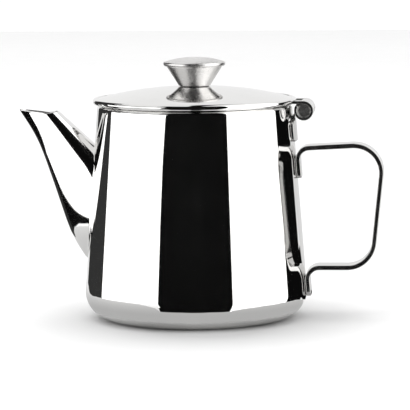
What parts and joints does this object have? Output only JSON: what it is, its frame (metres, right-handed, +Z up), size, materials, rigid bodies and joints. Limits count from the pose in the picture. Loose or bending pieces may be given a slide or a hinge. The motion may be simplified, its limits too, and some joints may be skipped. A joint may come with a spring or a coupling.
{
  "type": "teapot",
  "caption": "Small polished steel teapot with a tapering round pot, a conical spout, a flat-strip handle and a domed lid that swings up on a rear hinge.",
  "frame": {"origin": "on the pot's centre line, in the plane the pot stands on", "axes": "+Z up along the pot's centre line; +X towards the handle and the lid hinge, with the spout on -X; +Y completes the right-handed frame, and XZ is the plane of symmetry"},
  "size_m": [0.1743, 0.106, 0.1246],
  "materials": {
    "polished_steel": "mirror polished stainless steel sheet",
    "polished_strip": "polished stainless steel strip",
    "satin_steel": "turned satin stainless steel",
    "hardware_steel": "plain stainless steel hardware"
  },
  "bodies": {
    "pot": {"body": "polished_steel", "spout": "polished_steel", "handle": "polished_strip", "hinge_bracket": "polished_strip", "hinge_pin": "hardware_steel"},
    "lid": {"lid": "polished_steel", "lid_strap": "polished_strip", "knob_cone": "satin_steel", "knob_cap": "satin_steel", "knob_bush": "hardware_steel", "knob_washer": "hardware_steel", "knob_screw": "hardware_steel"}
  },
  "joints": [
    {"name": "lid_hinge", "type": "hinge", "parent": "pot", "child": "lid", "pos_m": [0.0524, 0, 0.0997], "axis": [0, 1, 0], "range_deg": [0, 105]}
  ]
}
